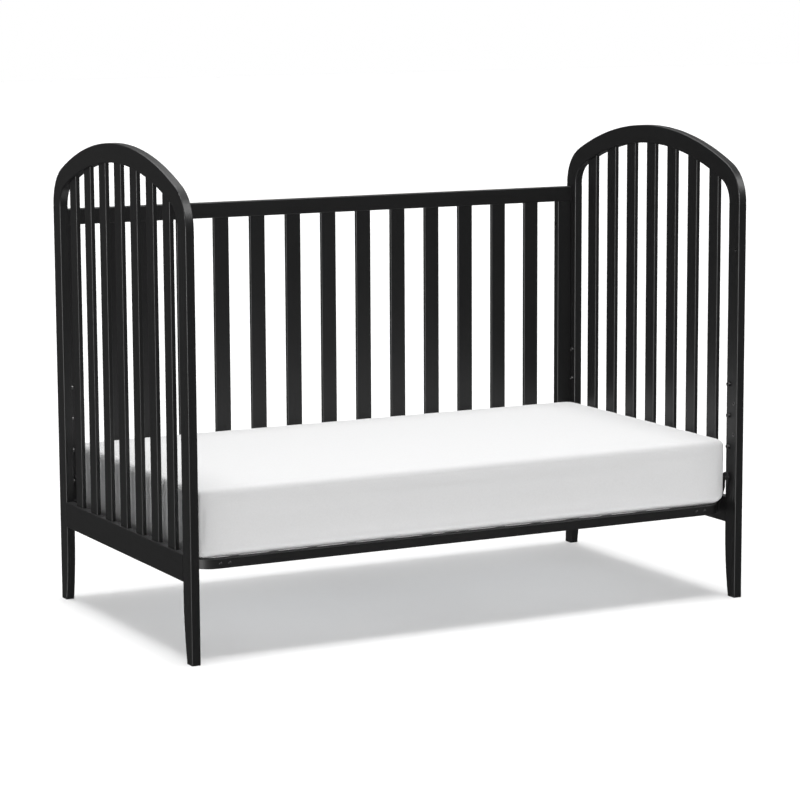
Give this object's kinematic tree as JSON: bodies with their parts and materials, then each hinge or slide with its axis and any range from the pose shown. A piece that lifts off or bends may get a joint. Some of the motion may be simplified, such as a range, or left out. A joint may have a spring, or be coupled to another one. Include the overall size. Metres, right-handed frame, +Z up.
{
  "type": "baby crib",
  "caption": "Wooden crib with arched slatted ends and a slatted back, open at the front, with a height-adjustable sprung steel support and a sheeted mattress.",
  "frame": {"origin": "centre of the footprint, on the floor", "axes": "+X along the crib towards its right end, +Y from the open front towards the slatted back, +Z up"},
  "size_m": [1.37, 0.752, 1.0625],
  "materials": {
    "ebony_paint": "satin black paint over solid wood",
    "dowel_wood": "raw turned beech",
    "black_steel": "black powder coat",
    "zinc_steel": "bright zinc plate",
    "wire_steel": "drawn and galvanised wire",
    "foam": "open-cell foam",
    "ticking": "woven ticking",
    "sheet_cotton": "white cotton percale"
  },
  "bodies": {
    "crib": {"left_front_post": "ebony_paint", "left_back_post": "ebony_paint", "left_arch": "ebony_paint", "left_bottom_rail": "ebony_paint", "left_slat_1": "ebony_paint", "left_slat_2": "ebony_paint", "left_slat_3": "ebony_paint", "left_slat_4": "ebony_paint", "left_slat_5": "ebony_paint", "left_slat_6": "ebony_paint", "left_slat_7": "ebony_paint", "right_front_post": "ebony_paint", "right_back_post": "ebony_paint", "right_arch": "ebony_paint", "right_bottom_rail": "ebony_paint", "right_slat_1": "ebony_paint", "right_slat_2": "ebony_paint", "right_slat_3": "ebony_paint", "right_slat_4": "ebony_paint", "right_slat_5": "ebony_paint", "right_slat_6": "ebony_paint", "right_slat_7": "ebony_paint", "back_top_rail": "ebony_paint", "back_bottom_rail": "ebony_paint", "back_left_stile": "ebony_paint", "back_right_stile": "ebony_paint", "back_slat_1": "ebony_paint", "back_slat_2": "ebony_paint", "back_slat_3": "ebony_paint", "back_slat_4": "ebony_paint", "back_slat_5": "ebony_paint", "back_slat_6": "ebony_paint", "back_slat_7": "ebony_paint", "back_slat_8": "ebony_paint", "back_slat_9": "ebony_paint", "back_slat_10": "ebony_paint", "back_slat_11": "ebony_paint", "back_slat_12": "ebony_paint", "back_slat_13": "ebony_paint", "arch_dowels": "dowel_wood", "rail_dowels": "dowel_wood", "panel_bolts": "zinc_steel", "panel_inserts": "zinc_steel", "front_rail_inserts": "zinc_steel", "height_sleeves": "zinc_steel", "hanger_bolts": "black_steel"},
    "support": {"support_frame": "black_steel", "centre_cross_bar": "black_steel", "corner_gussets": "black_steel", "hanger_plates": "black_steel", "support_rivets": "black_steel", "deck_long_wires": "wire_steel", "deck_cross_wires": "wire_steel", "deck_springs": "wire_steel"},
    "mattress": {"mattress_core": "foam", "mattress_cover": "ticking", "fitted_sheet": "sheet_cotton"}
  },
  "joints": [
    {"name": "support_height", "type": "slide", "parent": "crib", "child": "support", "axis": [0, 0, 1], "range_m": [0, 0.216]},
    {"name": "mattress_lift", "type": "slide", "parent": "support", "child": "mattress", "axis": [0, 0, 1], "range_m": [0, 0.86]}
  ]
}
